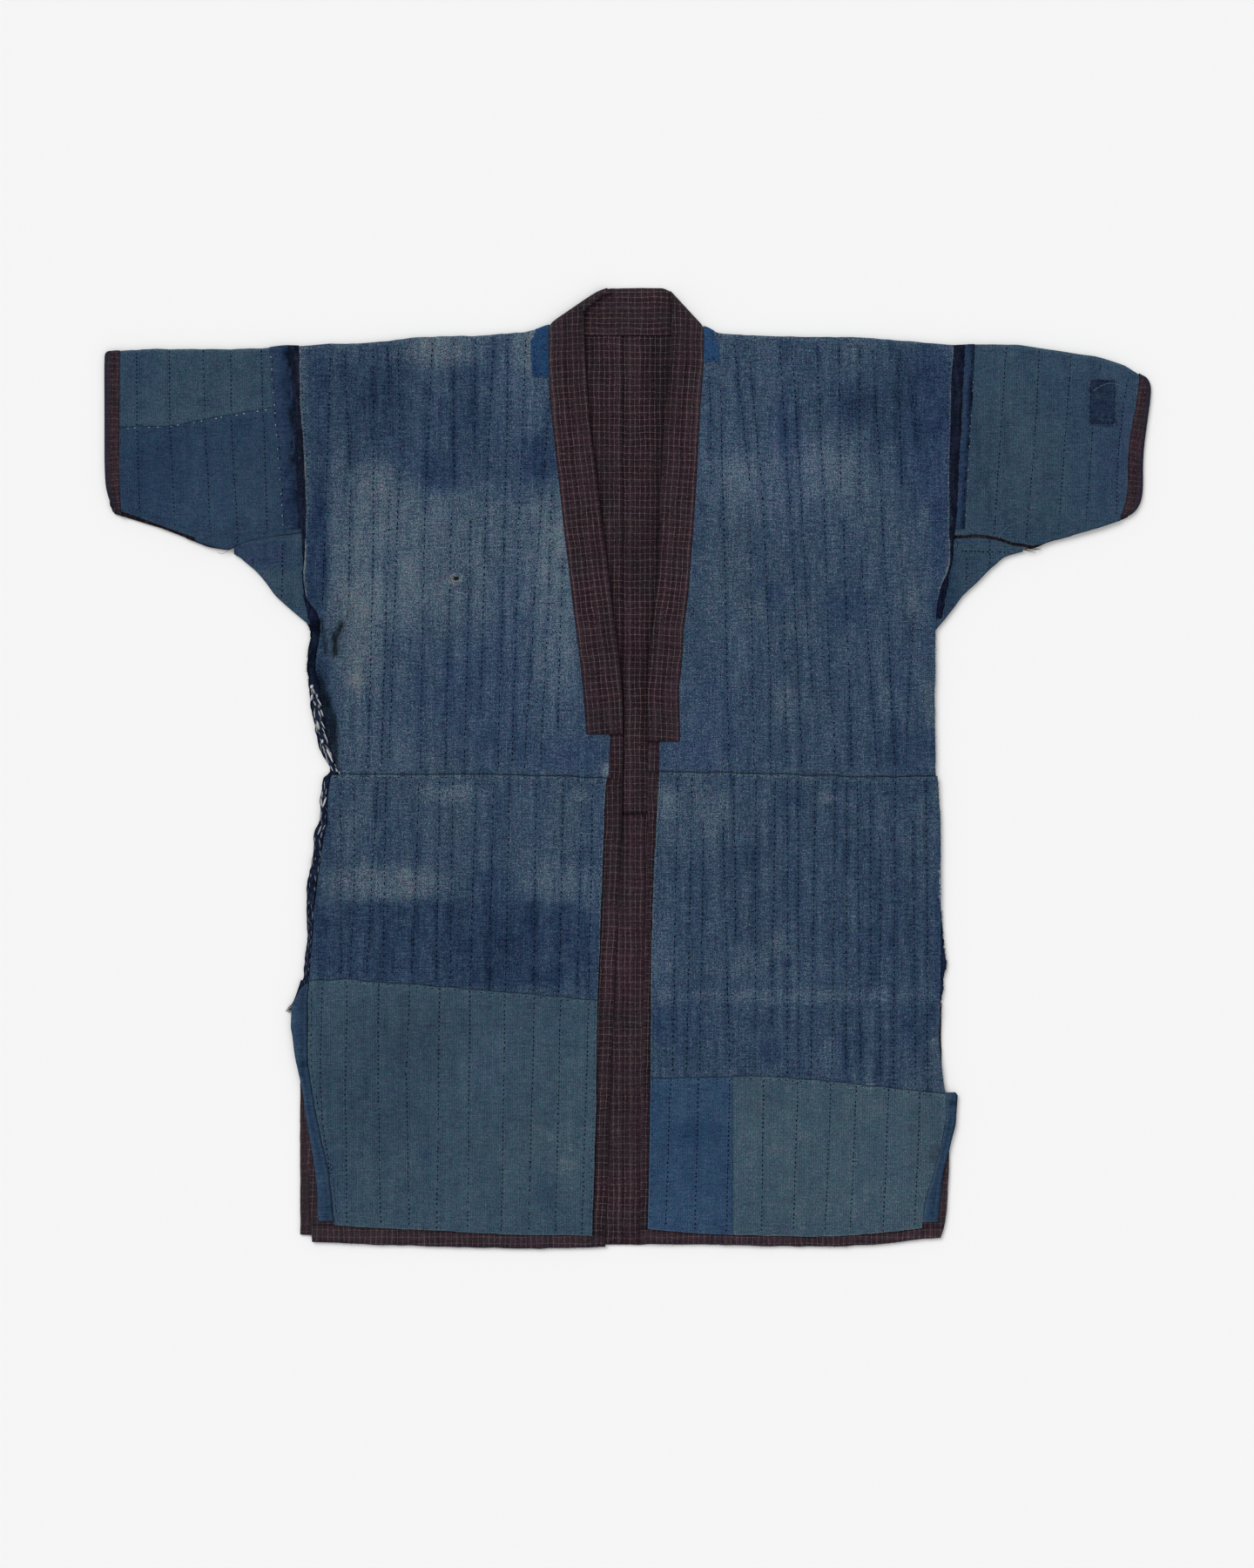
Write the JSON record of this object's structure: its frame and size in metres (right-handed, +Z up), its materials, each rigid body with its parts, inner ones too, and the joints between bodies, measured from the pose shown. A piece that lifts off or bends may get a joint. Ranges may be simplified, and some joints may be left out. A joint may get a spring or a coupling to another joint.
{
  "type": "patched boro work jacket",
  "caption": "Two-layer quilted cotton work jacket with short sleeves and a straight collar band, turned inside out and laid flat with its patched indigo lining outwards.",
  "frame": {"origin": "on the surface that the jacket lies on, below the middle of its bounding box", "axes": "+X across the jacket from cuff to cuff, +Y from the hem towards the collar, +Z up from the surface"},
  "size_m": [1.0321, 0.948, 0.0078],
  "materials": {
    "faded_indigo": "worn hand-woven indigo cotton, mottled and faded, quilted in rows",
    "grey_teal": "thin ribbed indigo cotton of a greener, greyer dye",
    "mid_indigo": "thin ribbed indigo cotton of a bluer dye",
    "bright_indigo": "little-worn indigo cotton, plain and brighter",
    "navy": "dark indigo cotton strip",
    "check": "dark brown and plum cotton with a fine pale check",
    "cuff_check": "redder brown cotton with a fine check",
    "dark_allowance": "raw dark seam allowance, frayed and overcast"
  },
  "bodies": {
    "root": {"armhole_allowance_left": "dark_allowance", "armhole_allowance_right": "dark_allowance", "armhole_strip_left": "navy", "armhole_strip_right": "navy", "collar_back": "check", "collar_left": "check", "collar_right": "check", "cuff_left": "cuff_check", "cuff_right": "cuff_check", "gusset_left": "grey_teal", "gusset_right": "grey_teal", "hem_panel_left": "grey_teal", "hem_panel_right_blue": "mid_indigo", "hem_panel_right_teal": "grey_teal", "lining_back_left": "faded_indigo", "lining_back_right": "faded_indigo", "lining_front_left": "faded_indigo", "lining_front_right": "faded_indigo", "lining_upper_left": "faded_indigo", "lining_upper_right": "faded_indigo", "neck_patch_left": "bright_indigo", "neck_patch_right": "bright_indigo", "outer_back_left": "check", "outer_back_right": "check", "outer_front_left": "check", "outer_front_right": "check", "outer_upper_left": "check", "outer_upper_right": "check", "side_allowance_left_lower": "dark_allowance", "side_allowance_left_upper": "dark_allowance", "side_allowance_right": "dark_allowance", "sleeve_lining_left_lower": "mid_indigo", "sleeve_lining_left_upper": "grey_teal", "sleeve_lining_right": "grey_teal", "sleeve_outer_left": "check", "sleeve_outer_right": "check", "sleeve_patch_right": "navy", "vent_facing_left": "bright_indigo", "vent_facing_right": "bright_indigo"}
  },
  "joints": []
}
